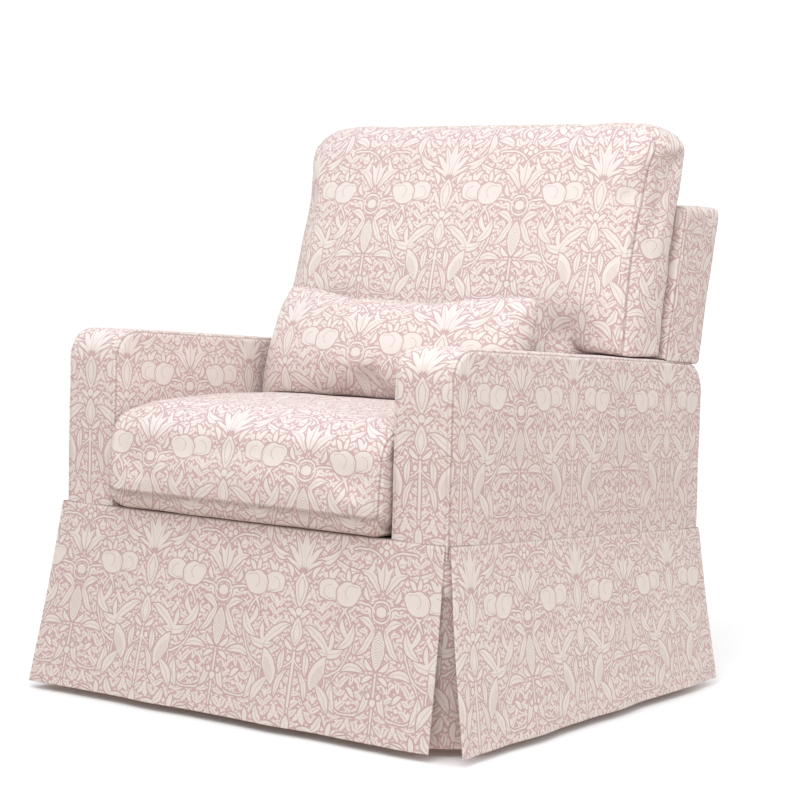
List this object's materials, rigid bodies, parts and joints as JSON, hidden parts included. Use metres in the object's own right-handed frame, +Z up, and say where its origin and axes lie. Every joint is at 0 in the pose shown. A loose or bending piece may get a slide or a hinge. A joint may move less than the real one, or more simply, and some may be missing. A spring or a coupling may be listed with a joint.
{
  "type": "swivel glider nursery chair",
  "caption": "Skirted, upholstered swivel glider chair with track arms, pillow back, loose seat cushion and lumbar pillow, on a ring base with hanging glide links.",
  "frame": {"origin": "on the floor, on the swivel axis, at the middle of the chair's outline", "axes": "+Z up, -Y the way the sitter faces, +X to the right of someone who looks at the chair's front"},
  "size_m": [0.878, 0.8796, 0.985],
  "materials": {
    "patterned_cloth": "matte",
    "foam": "matte",
    "deck_cloth": "matte",
    "dust_cloth": "matte",
    "webbing": "matte",
    "hardwood": "matte",
    "plywood": "matte",
    "black_steel": "satin",
    "zinc_steel": "satin",
    "spring_steel": "satin",
    "bearing_steel": "polished",
    "pad_plastic": "matte"
  },
  "bodies": {
    "base": {"base_ring": "black_steel", "floor_pads": "pad_plastic", "lower_swivel_plate": "zinc_steel", "swivel_balls": "bearing_steel", "spindle": "zinc_steel"},
    "turntable": {"upper_swivel_plate": "zinc_steel", "carriage_tubes": "black_steel", "carriage_plate_left": "black_steel", "carriage_plate_right": "black_steel", "upper_pivot_pins": "zinc_steel"},
    "front_left_link": {"link_front_left": "black_steel", "link_bearings_front_left": "bearing_steel"},
    "front_right_link": {"link_front_right": "black_steel", "link_bearings_front_right": "bearing_steel"},
    "rear_left_link": {"link_rear_left": "black_steel", "link_bearings_rear_left": "bearing_steel"},
    "rear_right_link": {"link_rear_right": "black_steel", "link_bearings_rear_right": "bearing_steel"},
    "seat_cushion": {"seat_cushion_cover": "patterned_cloth", "seat_cushion_core": "foam"},
    "lumbar_pillow": {"lumbar_pillow_cover": "patterned_cloth", "lumbar_pillow_core": "foam"},
    "seat": {"arm_cover_left": "patterned_cloth", "arm_cover_right": "patterned_cloth", "back_cover": "patterned_cloth", "back_cushion_cover": "patterned_cloth", "skirt_front": "patterned_cloth", "skirt_rear": "patterned_cloth", "skirt_side_left": "patterned_cloth", "skirt_side_right": "patterned_cloth", "skirt_pleat_front_left": "patterned_cloth", "skirt_pleat_front_right": "patterned_cloth", "skirt_pleat_rear_left": "patterned_cloth", "skirt_pleat_rear_right": "patterned_cloth", "front_rail_cover": "patterned_cloth", "rear_apron_cover": "patterned_cloth", "back_cushion_core": "foam", "seat_deck": "deck_cloth", "dust_cover": "dust_cloth", "back_webbing": "webbing", "seat_front_rail": "hardwood", "seat_rear_rail": "hardwood", "seat_side_rail_left": "hardwood", "seat_side_rail_right": "hardwood", "spring_rail": "hardwood", "stretchers": "hardwood", "corner_blocks": "hardwood", "back_frame": "hardwood", "arm_frame_left": "plywood", "arm_frame_right": "plywood", "rear_apron_board": "plywood", "hanger_rails": "black_steel", "back_brackets": "black_steel", "lower_pivot_pins": "zinc_steel", "hanger_bolts": "zinc_steel", "arm_bolts": "zinc_steel", "back_bracket_screws": "zinc_steel", "spring_clips": "zinc_steel", "seat_springs": "spring_steel"}
  },
  "joints": [
    {"name": "swivel", "type": "hinge", "parent": "base", "child": "turntable", "pos_m": [0, 0, 0.045], "axis": [0, 0, 1], "continuous": true},
    {"name": "front_left_glide", "type": "hinge", "parent": "turntable", "child": "front_left_link", "pos_m": [-0.214, -0.13, 0.18], "axis": [1, 0, 0], "range_deg": [-25, 25]},
    {"name": "front_right_glide", "type": "hinge", "parent": "turntable", "child": "front_right_link", "pos_m": [0.214, -0.13, 0.18], "axis": [1, 0, 0], "range_deg": [-25, 25]},
    {"name": "rear_left_glide", "type": "hinge", "parent": "turntable", "child": "rear_left_link", "pos_m": [-0.214, 0.13, 0.18], "axis": [1, 0, 0], "range_deg": [-25, 25]},
    {"name": "rear_right_glide", "type": "hinge", "parent": "turntable", "child": "rear_right_link", "pos_m": [0.214, 0.13, 0.18], "axis": [1, 0, 0], "range_deg": [-25, 25]},
    {"name": "seat_hang", "type": "hinge", "parent": "front_left_link", "child": "seat", "pos_m": [-0.214, -0.13, 0.08], "axis": [1, 0, 0], "range_deg": [-25, 25]},
    {"name": "seat_cushion_lift_out", "type": "slide", "parent": "seat", "child": "seat_cushion", "axis": [0, -0.9985, 0.0544], "range_m": [0, 0.65]},
    {"name": "lumbar_pillow_lift_out", "type": "slide", "parent": "seat", "child": "lumbar_pillow", "axis": [0, 0, 1], "range_m": [0, 0.42]}
  ],
  "couplings": [
    {"joint": "front_right_glide", "follows": "front_left_glide", "ratio": 1},
    {"joint": "rear_left_glide", "follows": "front_left_glide", "ratio": 1},
    {"joint": "rear_right_glide", "follows": "front_left_glide", "ratio": 1},
    {"joint": "seat_hang", "follows": "front_left_glide", "ratio": -1}
  ]
}
